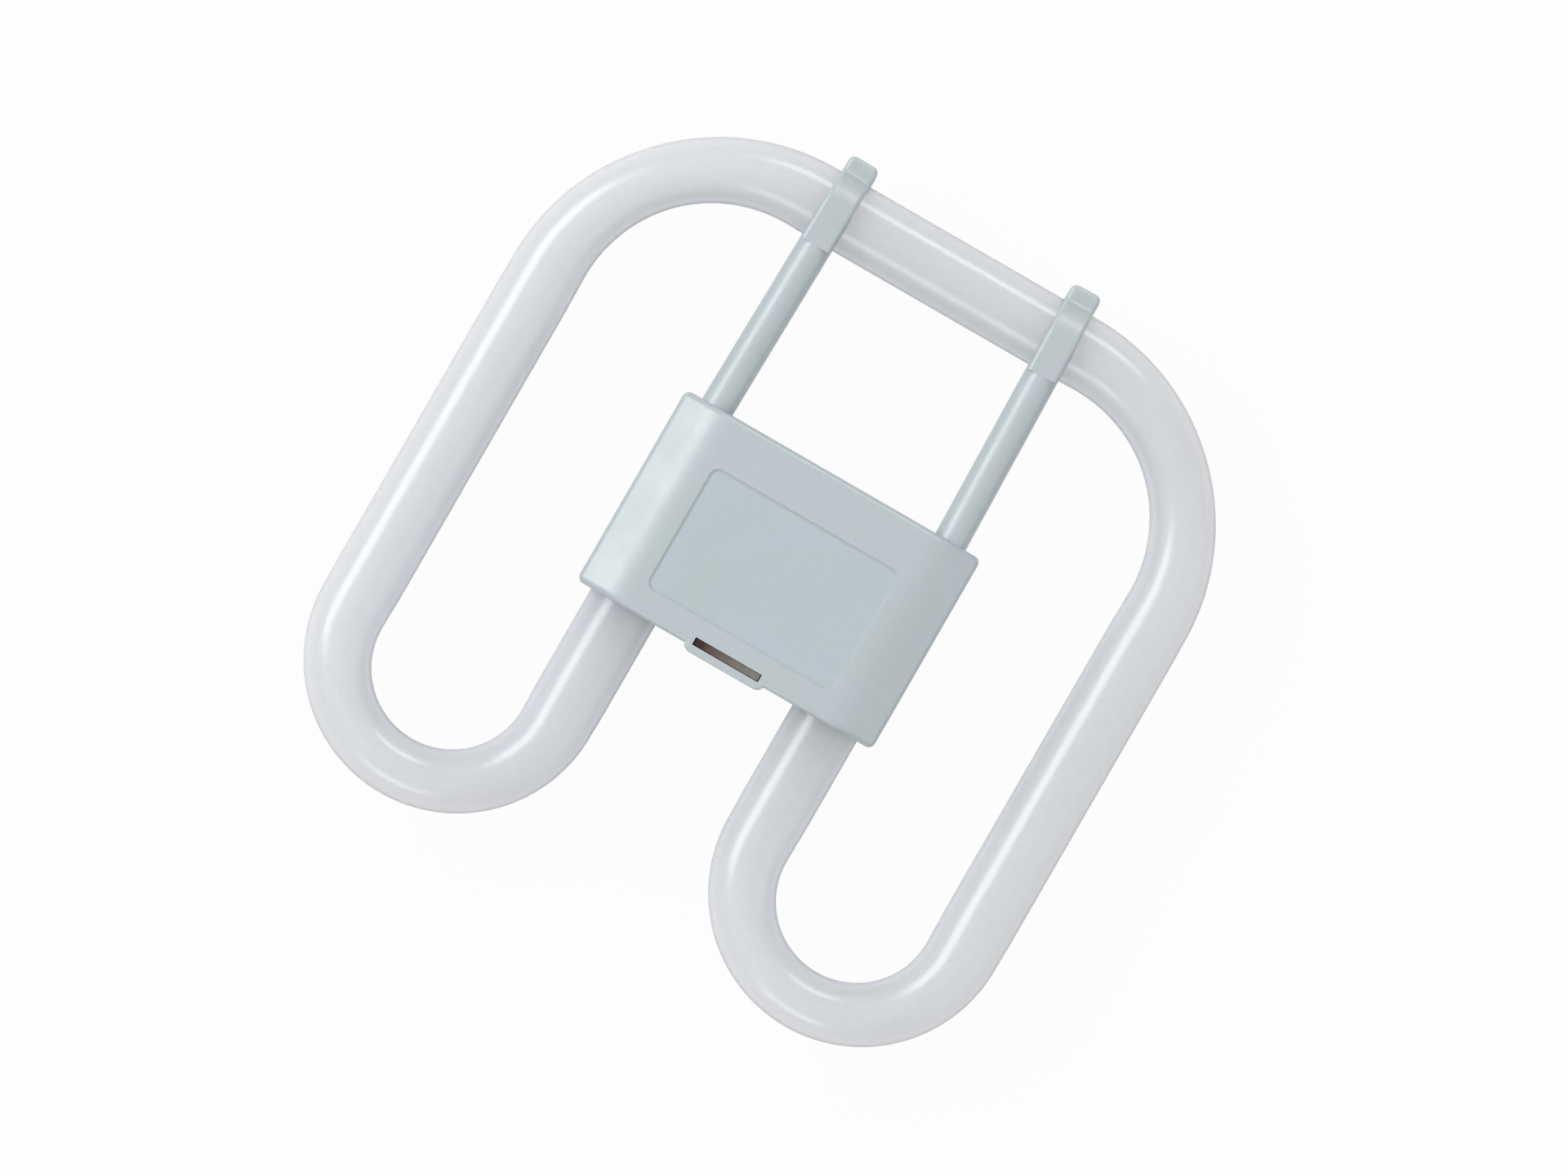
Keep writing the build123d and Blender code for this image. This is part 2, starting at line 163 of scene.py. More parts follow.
class TubeSettings(bpy.types.PropertyGroup):
    """Sizes and colours of the bent glass tube."""

    corner_radius: length_property(
        "Corner radius", "Centreline radius of the two top corners", 34.0 * MM
    )
    corner_waist: length_property(
        "Corner waist", "Width of the glass half way round a corner", 11.6 * MM
    )
    u_waist: length_property("U waist", "Width of the glass half way round a U bend", 11.2 * MM)
    throat: length_property("Throat", "Width of the glass where a bend starts", 13.0 * MM)
    throat_run: length_property(
        "Throat run", "Straight length over which the glass narrows", 6.0 * MM
    )
    leg_end: length_property(
        "Leg end", "Height of the sealed leg ends above the lamp's middle", 3.6 * MM
    )
    shoulder: length_property("Shoulder", "Rounding of the sealed ends", 2.6 * MM)
    tip_radius: length_property(
        "Tip radius", "Radius of the exhaust tips on the sealed ends", 1.7 * MM
    )
    tip_length: length_property(
        "Tip length", "Length of the exhaust tips on the sealed ends", 3.0 * MM
    )
    segments: IntProperty(
        name="Segments", description="Points round the glass", default=72, min=12, max=160
    )
    coat_cool: colour_property(
        "Cool coat", "White coating where it looks faintly violet", (213, 219, 236)
    )
    coat_neutral: colour_property(
        "Neutral coat", "White coating where it looks neutral", (211, 220, 233)
    )
    # Painted shade: the colour that the tube's outline darkens to as the surface turns away from the
    # view.
    rim_shade: colour_property("Rim", "Glass seen edge on along the tube's sides", (120, 131, 144))


class HousingSettings(bpy.types.PropertyGroup):
    """Sizes and colours of the moulded housing."""

    label_width: length_property(
        "Label width", "Width of the bare label field's floor", 37.3 * MM
    )
    label_height: length_property(
        "Label height", "Height of the bare label field's floor", 23.9 * MM
    )
    label_drop: length_property(
        "Label drop", "How far the field's middle lies below the lamp's middle", 2.3 * MM
    )
    label_corner: length_property(
        "Label corner", "Corner radius of the bare label field's floor", 1.4 * MM
    )
    plastic: colour_property("Plastic", "Pale grey moulding", (186, 195, 200))
    plastic_warm: colour_property(
        "Plastic shade", "The same moulding where it looks greener", (183, 194, 195)
    )
    # Partly painted sheen: a tint of the field's own together with the bluer look of its smoother
    # floor's sheen.
    label_tone_and_sheen: colour_property(
        "Label tint", "Bluer tone of the bare label field", (182, 195, 203)
    )
    seam: colour_property(
        "Seam", "Dust in the line between the two mouldings", (118, 124, 126)
    )
    seam_width: length_property(
        "Seam width", "Width of the line between the two mouldings", 0.22 * MM
    )
    roughness: FloatProperty(
        name="Roughness",
        description="Roughness of the moulded skin",
        default=0.36,
        min=0.0,
        max=1.0,
    )


class FittingSettings(bpy.types.PropertyGroup):
    """Colours of the pins and of what the housing holds."""

    brass: colour_property("Brass", "Turned contact pins", (206, 178, 112))
    board: colour_property("Board", "Brown starter board", (148, 116, 104))
    # Painted light: the pale grey that the board pales to towards its right end.
    board_light_wash: colour_property("Board dust", "Grey dust on the board's edge", (188, 186, 176))
    bottle: colour_property("Bottle", "Glass of the starter bottle", (226, 232, 232))
    capacitor: colour_property("Capacitor", "Dipped capacitor", (150, 84, 48))
    wire: colour_property("Wire", "Plated lead wires", (190, 188, 182))
    sleeve: colour_property("Sleeve", "Glass fibre sleeves", (224, 218, 200))
    cement: colour_property("Cement", "Cement round the legs", (222, 218, 208))


class StageSettings(bpy.types.PropertyGroup):
    """Floor, surround and camera."""

    floor_size: length_property("Floor size", "Side of the square floor", 6.0)
    view_width: length_property(
        "View width", "Width that the picture covers at the lamp", 0.2790
    )
    camera_height: length_property(
        "Camera height", "Height of the camera above the lamp's middle", 1.3
    )
    lamp_turn: FloatProperty(
        name="Lamp turn",
        description="How far the lamp lies turned clockwise in the picture",
        default=math.radians(30),
        unit="ROTATION",
        subtype="ANGLE",
    )
    aim_x: FloatProperty(
        name="Aim X",
        description="Picture's middle across the lamp",
        default=2.4 * MM,
        unit="LENGTH",
    )
    aim_y: FloatProperty(
        name="Aim Y",
        description="Picture's middle along the lamp",
        default=-2.6 * MM,
        unit="LENGTH",
    )
    surround: FloatProperty(
        name="Surround",
        description="Light from the pale surround",
        default=0.72,
        min=0.0,
        max=2.0,
    )
    backdrop: FloatProperty(
        name="Backdrop",
        description="Share of pure white in the floor's look",
        default=0.95,
        min=0.0,
        max=1.0,
    )


class NodeBench:
    """Short calls that place and join shader nodes in one material or world."""

    def __init__(self, owner, output="ShaderNodeOutputMaterial"):
        self.owner = owner
        owner.use_nodes = True
        self.tree = owner.node_tree
        self.tree.nodes.clear()
        self.output = self.tree.nodes.new(output)
        self.coordinates = self.tree.nodes.new("ShaderNodeTexCoord").outputs
        self.place = self.coordinates["Object"]

    def feed(self, socket, value):
        """Puts a value on a socket, or links another node's output to it."""
        if isinstance(value, bpy.types.NodeSocket):
            self.tree.links.new(value, socket)
        elif hasattr(value, "__len__") and len(value) == 3 and len(socket.default_value) == 4:
            socket.default_value = (*value, 1.0)
        else:
            socket.default_value = value

    def node(self, kind, inputs=None, **settings):
        """A node of that kind, with settings on it and values or links on its inputs."""
        made = self.tree.nodes.new(kind)
        for key, value in settings.items():
            setattr(made, key, value)
        for key, value in (inputs or {}).items():
            self.feed(made.inputs[key], value)
        return made

    def surface(self, shader):
        """Joins the last shader to the output."""
        self.feed(self.output.inputs["Surface"], shader)

    def principled(self, **inputs):
        """The material's main shader, with underscores for the spaces in its input names."""
        named = {key.replace("_", " "): value for key, value in inputs.items()}
        self.surface(self.node("ShaderNodeBsdfPrincipled", named).outputs["BSDF"])

    def seen_white(self, lit, white, share):
        """Shows the camera, mirrors and glass a share of white, and leaves the light as it is."""
        path = self.node("ShaderNodeLightPath").outputs
        seen = path["Is Camera Ray"]
        for name in ("Is Glossy Ray", "Is Transmission Ray"):
            seen = self.maths("MAXIMUM", seen, path[name])
        amount = self.maths("MULTIPLY", seen, share)
        mix = self.node("ShaderNodeMixShader", {"Fac": amount, 1: lit, 2: white})
        self.surface(mix.outputs["Shader"])

    def noise(self, scale, detail=3.0, roughness=0.5, place=None):
        """Fractal noise in object space; scale is in cells per metre."""
        inputs = {
            "Scale": scale,
            "Detail": detail,
            "Roughness": roughness,
            "Vector": place or self.place,
        }
        return self.node("ShaderNodeTexNoise", inputs).outputs["Fac"]

    def spread(self, value, span, onto=(0.0, 1.0)):
        """Maps one span of a value onto another one, and holds it there."""
        inputs = {
            "Value": value,
            "From Min": span[0],
            "From Max": span[1],
            "To Min": onto[0],
            "To Max": onto[1],
        }
        return self.node("ShaderNodeMapRange", inputs, clamp=True).outputs["Result"]

    def maths(self, operation, first, second=0.0):
        """One arithmetic step."""
        made = self.node("ShaderNodeMath", {0: first, 1: second}, operation=operation)
        return made.outputs["Value"]

    def blend(self, share, first, second):
        """Mixes two colours."""
        made = self.node("ShaderNodeMix", data_type="RGBA")
        self.feed(made.inputs["Factor"], share)
        colours = [socket for socket in made.inputs if socket.type == "RGBA"]
        self.feed(colours[0], first)
        self.feed(colours[1], second)
        return next(socket for socket in made.outputs if socket.type == "RGBA")

    def scaled(self, colour, share):
        """A colour times a number."""
        made = self.node("ShaderNodeVectorMath", {0: colour, "Scale": share}, operation="SCALE")
        return made.outputs["Vector"]

    def bump(self, height, strength, distance, under=None):
        """A bump from a height, over an earlier one if there is one."""
        inputs = {"Height": height, "Strength": strength, "Distance": distance}
        if under:
            inputs["Normal"] = under
        return self.node("ShaderNodeBump", inputs).outputs["Normal"]

    def mapped(self, **inputs):
        """Object place with a scale or a rotation."""
        return self.node("ShaderNodeMapping", {"Vector": self.place, **inputs}).outputs["Vector"]

    def axes(self):
        """The three coordinates of the object place."""
        return self.node("ShaderNodeSeparateXYZ", {"Vector": self.place}).outputs


def material_bench(name):
    """A bench on a new material."""
    return NodeBench(bpy.data.materials.new(name))


def coated_glass(settings):
    """White coating under clear glass, with painted shade that darkens its outline by view angle,
    standing in partly for the glass wall seen edge on and partly for dark reflections there.
    """
    bench = material_bench("coated_glass")
    drift = bench.spread(bench.noise(scale=26.0, detail=2.0), span=(0.36, 0.64))
    coat = bench.blend(drift, settings.coat_cool, settings.coat_neutral)
    fine = bench.noise(scale=1400.0, detail=4.0, roughness=0.62)
    grain = bench.spread(fine, span=NOISE_SPAN, onto=(0.972, 1.018))
    lengthwise = bench.noise(scale=1.0, place=bench.mapped(Scale=(60.0, 14.0, 60.0)))
    streak = bench.spread(lengthwise, span=NOISE_SPAN, onto=(0.985, 1.01))
    toned = bench.scaled(coat, bench.maths("MULTIPLY", grain, streak))
    # Painted shade: the base colour darkens towards the outline by view angle, for the glass wall
    # seen edge on and for dark reflections.
    facing = bench.node("ShaderNodeLayerWeight", {"Blend": 0.5}).outputs["Facing"]
    edge = bench.spread(facing, span=RIM_SPAN)
    waves = bench.bump(bench.noise(scale=90.0, detail=2.0), strength=0.01, distance=1.0 * MM)
    skin = bench.bump(bench.noise(scale=700.0), strength=0.02, distance=0.3 * MM, under=waves)
    bench.principled(
        Base_Color=bench.blend(edge, toned, settings.rim_shade),
        Roughness=0.5,
        IOR=GLASS_IOR,
        Specular_IOR_Level=0.0,
        Subsurface_Weight=0.88,
        Subsurface_Radius=(1.0, 1.0, 1.0),
        Subsurface_Scale=150 * MM,
        Coat_Weight=bench.spread(edge, span=COAT_FADE, onto=(1.0, 0.0)),
        Coat_Roughness=0.24,
        Coat_IOR=COAT_IOR,
        Coat_Normal=waves,
        Normal=skin,
    )
    return bench.owner


def label_field(bench, settings):
    """1 inside the bare label field on the front face, and 0 elsewhere."""

    def past(place, half):
        """Square of how far a place lies past a half width."""
        beyond = bench.maths("SUBTRACT", bench.maths("ABSOLUTE", place), half)
        return bench.maths("POWER", bench.maths("MAXIMUM", beyond, 0.0), 2.0)

    x, y, z = bench.axes()
    corner = settings.label_corner
    past_x = past(x, settings.label_width / 2 - corner)
    past_y = past(bench.maths("ADD", y, settings.label_drop), settings.label_height / 2 - corner)
    away = bench.maths("SQRT", bench.maths("ADD", past_x, past_y))
    inside = bench.maths("LESS_THAN", away, corner)
    front = bench.maths("GREATER_THAN", z, front_high.z - LABEL_REACH)
    return bench.maths("MULTIPLY", inside, front)


def parting_line(bench, settings):
    """1 in the dusty line where the two mouldings meet round the housing, and 0 elsewhere."""
    _, y, z = bench.axes()
    parting_z = (tube_low.z + tube_high.z) / 2
    away = bench.maths("ABSOLUTE", bench.maths("SUBTRACT", z, parting_z))
    fade = (SEAM_CORE * settings.seam_width, SEAM_FADE * settings.seam_width)
    line = bench.spread(away, span=fade, onto=(1.0, 0.0))
    return bench.maths("MULTIPLY", line, bench.maths("LESS_THAN", y, rear_high.y + SEAM_REACH))


def moulded_plastic(settings):
    """Pale moulded plastic with a fine skin, a little tone drift and the smoother label field."""
    bench = material_bench("moulded_plastic")
    drift = bench.spread(bench.noise(scale=45.0), span=(0.35, 0.65))
    body = bench.blend(drift, settings.plastic, settings.plastic_warm)
    field = label_field(bench, settings)
    patches = bench.noise(scale=70.0, detail=2.0)
    cloud = bench.spread(patches, span=(0.35, 0.65), onto=(0.0, 0.7))
    # Partly painted sheen: the field's bluer tone stands in for the sheen of its smoother floor as
    # well as a tint of its own.
    label = bench.blend(cloud, settings.label_tone_and_sheen, settings.plastic_warm)
    tinted = bench.blend(field, body, label)
    dusty = bench.blend(parting_line(bench, settings), tinted, settings.seam)
    fine = bench.noise(scale=2200.0, detail=2.0, roughness=0.7)
    speckle = bench.spread(fine, span=NOISE_SPAN, onto=(0.975, 1.015))
    rub = bench.noise(scale=160.0, detail=4.0, roughness=0.6)
    rub_span = (settings.roughness - ROUGHNESS_BELOW, settings.roughness + ROUGHNESS_ABOVE)
    rubbed = bench.spread(rub, span=NOISE_SPAN, onto=rub_span)
    grain = bench.noise(scale=3200.0, detail=2.0, roughness=0.6)
    skin = bench.bump(grain, strength=0.09, distance=0.2 * MM)
    swell = bench.noise(scale=120.0, detail=2.0)
    flow = bench.bump(swell, strength=0.05, distance=0.8 * MM, under=skin)
    bench.principled(
        Base_Color=bench.scaled(dusty, speckle),
        Roughness=bench.maths("SUBTRACT", rubbed, bench.maths("MULTIPLY", field, LABEL_SMOOTHER)),
        IOR=PLASTIC_IOR,
        Specular_IOR_Level=0.9,
        Subsurface_Weight=0.08,
        Subsurface_Radius=(0.8, 0.9, 1.0),
        Subsurface_Scale=1.5 * MM,
        Normal=flow,
    )
    return bench.owner


def turned_brass(colour):
    """Turned brass with fine rings, and tarnish that is duller and rougher than the clean metal."""
    bench = material_bench("turned_brass")
    patches = bench.noise(scale=900.0, detail=4.0, roughness=0.65)
    tarnish = bench.spread(patches, span=(0.42, 0.68))
    rings = bench.node(
        "ShaderNodeTexWave",
        {"Scale": 2600.0, "Distortion": 1.5, "Detail": 2.0, "Vector": bench.place},
        bands_direction="Z",
    )
    bench.principled(
        Base_Color=bench.blend(tarnish, colour, darker(colour, 0.62)),
        Metallic=1.0,
        Roughness=bench.spread(tarnish, span=(0.0, 1.0), onto=(0.24, 0.46)),
        Normal=bench.bump(rings.outputs["Fac"], strength=0.08, distance=0.05 * MM),
    )
    return bench.owner


def laminate_board(settings):
    """Brown paper laminate with fibres, and painted light and shade: darker brown at its left end,
    paling to grey towards its right end.
    """
    bench = material_bench("laminate_board")
    place = bench.mapped(Scale=(900.0, 900.0, 5200.0))
    fibres = bench.noise(scale=1.0, detail=4.0, roughness=0.6, place=place)
    paper = bench.spread(fibres, span=(0.35, 0.65))
    brown = bench.blend(paper, settings.board, darker(settings.board, 0.72))
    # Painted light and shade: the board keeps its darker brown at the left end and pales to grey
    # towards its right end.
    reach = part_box("starter_board")[1].x
    wander = bench.maths("MULTIPLY", bench.noise(scale=500.0), WASH_WANDER)
    along = bench.maths("ADD", bench.axes()["X"], wander)
    light_wash = bench.spread(along, span=(WASH_START * reach, WASH_END * reach))
    bench.principled(
        Base_Color=bench.blend(light_wash, brown, settings.board_light_wash),
        Roughness=0.72,
        Normal=bench.bump(fibres, strength=0.25, distance=0.1 * MM),
    )
    return bench.owner


def clear_bottle(colour):
    """Thin clear glass with a faint grey getter stain in patches."""
    bench = material_bench("clear_bottle")
    stain = bench.spread(bench.noise(scale=240.0), span=(0.45, 0.7))
    bench.principled(
        Base_Color=bench.blend(stain, colour, darker(colour, 0.55)),
        Roughness=0.06,
        IOR=GLASS_IOR,
        Transmission_Weight=0.7,
    )
    return bench.owner


def dipped_resin(colour):
    """Glossy dipped resin with a slightly orange-peeled skin."""
    bench = material_bench("dipped_resin")
    cloud = bench.spread(bench.noise(scale=420.0), span=(0.35, 0.65))
    peel = bench.noise(scale=900.0, detail=2.0)
    bench.principled(
        Base_Color=bench.blend(cloud, colour, darker(colour, 0.7)),
        Roughness=0.24,
        Coat_Weight=0.4,
        Coat_Roughness=0.12,
        Normal=bench.bump(peel, strength=0.2, distance=0.2 * MM),
    )
    return bench.owner


def plated_wire(colour):
    """Plated wire with drawing marks."""
    bench = material_bench("plated_wire")
    place = bench.mapped(Scale=(400.0, 400.0, 6000.0))
    marks = bench.noise(scale=1.0, detail=2.0, place=place)
    share = bench.spread(marks, span=NOISE_SPAN)
    bench.principled(
        Base_Color=bench.blend(share, colour, darker(colour, 0.75)),
        Metallic=1.0,
        Roughness=0.32,
        Normal=bench.bump(marks, strength=0.1, distance=0.05 * MM),
    )
    return bench.owner


def braided_sleeve(colour):
    """Braided glass fibre, as two crossed sets of ridges."""
    bench = material_bench("braided_sleeve")
    ridges = []
    for tilt in (-BRAID_TILT, BRAID_TILT):
        turned = bench.mapped(Rotation=(tilt, 0.0, tilt))
        wave = bench.node("ShaderNodeTexWave", {"Scale": 900.0, "Vector": turned})
        ridges.append(wave.outputs["Fac"])
    braid = bench.maths("MAXIMUM", *ridges)
    bench.principled(
        Base_Color=bench.blend(braid, darker(colour, 0.78), colour),
        Roughness=0.8,
        Sheen_Weight=0.2,
        Normal=bench.bump(braid, strength=0.5, distance=0.1 * MM),
    )
    return bench.owner


def set_cement(colour):
    """Rough cement with pores."""
    bench = material_bench("set_cement")
    cells = bench.node("ShaderNodeTexVoronoi", {"Scale": 1800.0, "Vector": bench.place})
    depth = cells.outputs["Distance"]
    pores = bench.spread(depth, span=(0.0, 0.6))
    bench.principled(
        Base_Color=bench.blend(pores, darker(colour, 0.8), colour),
        Roughness=0.9,
        Normal=bench.bump(depth, strength=0.4, distance=0.2 * MM),
    )
    return bench.owner


def dress(node_name, material):
    """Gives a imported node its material."""
    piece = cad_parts[node_name]
    piece.data.materials.clear()
    piece.data.materials.append(material)


def straight_run(start, end, first, last, steps):
    """Stations along a straight length whose width eases from the first value to the last."""
    heading = (end - start).normalized()
    for step in range(steps):
        share = step / steps
        eased = share * share * (3 - 2 * share)
        yield start.lerp(end, share), heading, first + (last - first) * eased


def bent_run(centre, radius, start, turn, throat, waist, steps):
    """Stations round a bend whose width goes from the throat to the waist and back."""
    for step in range(steps):
        share = step / steps
        angle = start + turn * share
        outward = Vector((math.cos(angle), math.sin(angle)))
        heading = Vector((-outward.y, outward.x)) * math.copysign(1.0, turn)
        width = waist + (throat - waist) * (1 - math.sin(math.pi * share))
        yield centre + outward * radius, heading, width


def tube_stations(settings):
    """Places, headings and widths of the left half, from the leg end to the top middle."""
    radius = (tube_high.z - tube_low.z) / 2
    diameter = 2 * radius
    outer_x = tube_high.x - radius
    collar_low, collar_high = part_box("cement_collar_right")
    leg_x = (collar_low.x + collar_high.x) / 2
    top_y = tube_high.y - radius
    throat, u_waist, corner_waist = settings.throat, settings.u_waist, settings.corner_waist
    u_radius = (outer_x - leg_x) / 2
    corner_radius = settings.corner_radius
    u_centre = Vector((-(outer_x + leg_x) / 2, tube_low.y + u_waist / 2 + u_radius))
    corner = Vector((-(outer_x - corner_radius), top_y - corner_radius))
    leg_head = Vector((-leg_x, settings.leg_end))
    leg_foot = Vector((-leg_x, u_centre.y))
    side_foot = Vector((-outer_x, u_centre.y))
    side_head = Vector((-outer_x, corner.y))
    top_start = Vector((corner.x, top_y))
    top_middle = Vector((0, top_y))
    up = Vector((0, settings.throat_run))
    across = Vector((settings.throat_run, 0))
    corner_turn = -math.pi / 2
    stations = [
        *straight_run(leg_head, leg_foot + up, diameter, diameter, LEG_STEPS),
        *straight_run(leg_foot + up, leg_foot, diameter, throat, TAPER_STEPS),
        *bent_run(u_centre, u_radius, 0.0, -math.pi, throat, u_waist, U_STEPS),
        *straight_run(side_foot, side_foot + up, throat, diameter, TAPER_STEPS),
        *straight_run(side_foot + up, side_head - up, diameter, diameter, SIDE_STEPS),
        *straight_run(side_head - up, side_head, diameter, throat, TAPER_STEPS),
        *bent_run(corner, corner_radius, math.pi, corner_turn, throat, corner_waist, CORNER_STEPS),
        *straight_run(top_start, top_start + across, throat, diameter, TAPER_STEPS),
        *straight_run(top_start + across, top_middle, diameter, diameter, TOP_STEPS),
    ]
    return stations, radius


def quarter_turn(count):
    """Angles from a right angle down to zero, in equal steps."""
    return [math.radians(90 - 90 * step / (count - 1)) for step in range(count)]


def closing_rings(settings, radius):
    """Sealed end of a leg, from the exhaust tip to the shoulder: height above the end, radius."""
    rings = []
    tip, shoulder = settings.tip_radius, settings.shoulder
    for angle in quarter_turn(TIP_RINGS):
        rise = settings.tip_length - tip * TIP_ROUNDING * (1 - math.sin(angle))
        rings.append((rise, max(tip * math.cos(angle), SMALLEST_RADIUS)))
    rings.append((0.0, tip))
    for angle in quarter_turn(SHOULDER_RINGS):
        rise = -shoulder * (1 - math.sin(angle))
        rings.append((rise, radius - shoulder * (1 - math.cos(angle))))
    return rings


def glass_tube_mesh(settings):
    """The whole bent tube as one closed mesh."""
    stations, radius = tube_stations(settings)
    centre_z = (tube_high.z + tube_low.z) / 2
    segments = settings.segments
    mesh = bmesh.new()

    def ring(place, heading, half_width, half_depth):
        """One ellipse of points round the glass, square to the heading."""
        across = Vector((-heading.y, heading.x))
        points = []
        for segment in range(segments):
            turn = 2 * math.pi * segment / segments
            side = across * (half_width * math.cos(turn))
            rise = half_depth * math.sin(turn)
            point = (place.x + side.x, place.y + side.y, centre_z + rise)
            points.append(mesh.verts.new(point))
        return points

    head, down, _ = stations[0]
    closing = closing_rings(settings, radius)
    left = [
        *((head + Vector((0, rise)), down, end_radius, end_radius) for rise, end_radius in closing),
        *((place, heading, width / 2, radius) for place, heading, width in stations[1:]),
    ]
    middle = (Vector((0, stations[-1][0].y)), Vector((1, 0)), radius, radius)
    right = [
        (Vector((-place.x, place.y)), Vector((heading.x, -heading.y)), half_width, half_depth)
        for place, heading, half_width, half_depth in reversed(left)
    ]
    rings = [ring(*station) for station in (*left, middle, *right)]
    for near, far in zip(rings, rings[1:]):
        for segment in range(segments):
            following = (segment + 1) % segments
            mesh.faces.new((near[segment], near[following], far[following], far[segment]))
    mesh.faces.new(rings[0][::-1])
    mesh.faces.new(rings[-1])
    bmesh.ops.recalc_face_normals(mesh, faces=mesh.faces)
    for face in mesh.faces:
        face.smooth = True
    data = bpy.data.meshes.new("glass_tube")
    mesh.to_mesh(data)
    mesh.free()
    return data


class LAMP_OT_glass_tube(bpy.types.Operator):
    """Build the bent, coated glass tube"""

    bl_idname = "lamp.glass_tube"
    bl_label = "Glass Tube"
    bl_options = {"REGISTER", "UNDO"}

    def execute(self, context):
        settings = context.scene.lamp_tube
        tube = bpy.data.objects.new("glass_tube", glass_tube_mesh(settings))
        context.scene.collection.objects.link(tube)
        tube.data.materials.append(coated_glass(settings))
        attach(tube, "root")
        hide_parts("discharge_tube")
        return {"FINISHED"}


class LAMP_OT_housings(bpy.types.Operator):
    """Finish the front and rear mouldings"""

    bl_idname = "lamp.housings"
    bl_label = "Housings"
    bl_options = {"REGISTER", "UNDO"}

    def execute(self, context):
        plastic = moulded_plastic(context.scene.lamp_housing)
        for name in HOUSINGS:
            dress(name, plastic)
        return {"FINISHED"}


class LAMP_OT_contact_pins(bpy.types.Operator):
    """Finish the two contact pins"""

    bl_idname = "lamp.contact_pins"
    bl_label = "Contact Pins"
    bl_options = {"REGISTER", "UNDO"}

    def execute(self, context):
        brass = turned_brass(context.scene.lamp_fittings.brass)
        for name in PINS:
            dress(name, brass)
        return {"FINISHED"}


class LAMP_OT_starter_set(bpy.types.Operator):
    """Finish the starter board, bottle and capacitor"""

    bl_idname = "lamp.starter_set"
    bl_label = "Starter Set"
    bl_options = {"REGISTER", "UNDO"}

    def execute(self, context):
        settings = context.scene.lamp_fittings
        dress("starter_board", laminate_board(settings))
        dress("starter_bottle", clear_bottle(settings.bottle))
        dress("suppressor_capacitor", dipped_resin(settings.capacitor))
        return {"FINISHED"}


class LAMP_OT_wiring(bpy.types.Operator):
    """Finish the lead wires, their sleeves and the cement round the legs"""

    bl_idname = "lamp.wiring"
    bl_label = "Wiring"
    bl_options = {"REGISTER", "UNDO"}

    def execute(self, context):
        settings = context.scene.lamp_fittings
        wire = plated_wire(settings.wire)
        sleeve = braided_sleeve(settings.sleeve)
        cement = set_cement(settings.cement)
        for side in SIDES:
            for stem in LEADS:
                dress(f"{stem}_{side}", wire)
            for stem in SLEEVES:
                dress(f"{stem}_{side}", sleeve)
            dress(f"cement_collar_{side}", cement)
        return {"FINISHED"}


def pale_floor(settings):
    """Plain pale floor just under the plane that the lamp lies on."""
    half = settings.floor_size / 2
    data = bpy.data.meshes.new("floor")
    corners = [(-half, -half, 0), (half, -half, 0), (half, half, 0), (-half, half, 0)]
    data.from_pydata(corners, [], [(0, 1, 2, 3)])
    floor = bpy.data.objects.new("floor", data)
    floor.location.z = cad_low.z - FLOOR_GAP
    bpy.context.scene.collection.objects.link(floor)
    bench = material_bench("pale_floor")
    paper = bench.spread(bench.noise(scale=300.0), span=NOISE_SPAN, onto=PAPER_SPAN)
    tone = bench.node("ShaderNodeCombineColor", {"Red": paper, "Green": paper, "Blue": paper})
    lit = bench.node("ShaderNodeBsdfDiffuse", {"Color": tone.outputs["Color"]})
    white = bench.node("ShaderNodeEmission", {"Color": WHITE, "Strength": 1.0})
    bench.seen_white(lit.outputs["BSDF"], white.outputs["Emission"], settings.backdrop)
    data.materials.append(bench.owner)


def pale_surround(settings):
    """Pale light from all round, weaker near the horizon and from below, and seen as white."""
    world = bpy.data.worlds.new("pale_surround")
    bpy.context.scene.world = world
    bench = NodeBench(world, output="ShaderNodeOutputWorld")
    way = bench.node("ShaderNodeSeparateXYZ", {"Vector": bench.coordinates["Generated"]})
    brightness = (LOW_SURROUND * settings.surround, settings.surround)
    rise = bench.spread(way.outputs["Z"], span=RISE_SPAN, onto=brightness)
    lit = bench.node("ShaderNodeBackground", {"Strength": rise})
    white = bench.node("ShaderNodeBackground", {"Strength": 1.0})
    bench.seen_white(lit.outputs["Background"], white.outputs["Background"], 1.0)


def soft_box(name, toward, tilt, width, length, brightness):
    """A soft box given by angles in degrees, as seen from the lamp, and by its brightness."""
    light = bpy.data.lights.new(name, "AREA")
    light.shape = "RECTANGLE"
    light.size = 2 * BOX_DISTANCE * math.tan(math.radians(width / 2))
    light.size_y = 2 * BOX_DISTANCE * math.tan(math.radians(length / 2))
    light.energy = brightness * math.pi * light.size * light.size_y
    box = bpy.data.objects.new(name, light)
    toward, tilt = math.radians(toward), math.radians(tilt)
    outward = Vector((math.cos(toward), math.sin(toward), 0))
    back = (outward * math.sin(tilt) + Vector((0, 0, math.cos(tilt)))).normalized()
    along = Vector((-outward.y, outward.x, 0))
    across = along.cross(back)
    turn = Matrix((across, along, back)).transposed().to_4x4()
    middle = Vector((0, 0, (cad_low.z + cad_high.z) / 2))
    box.matrix_world = Matrix.Translation(middle + back * BOX_DISTANCE) @ turn
    bpy.context.scene.collection.objects.link(box)


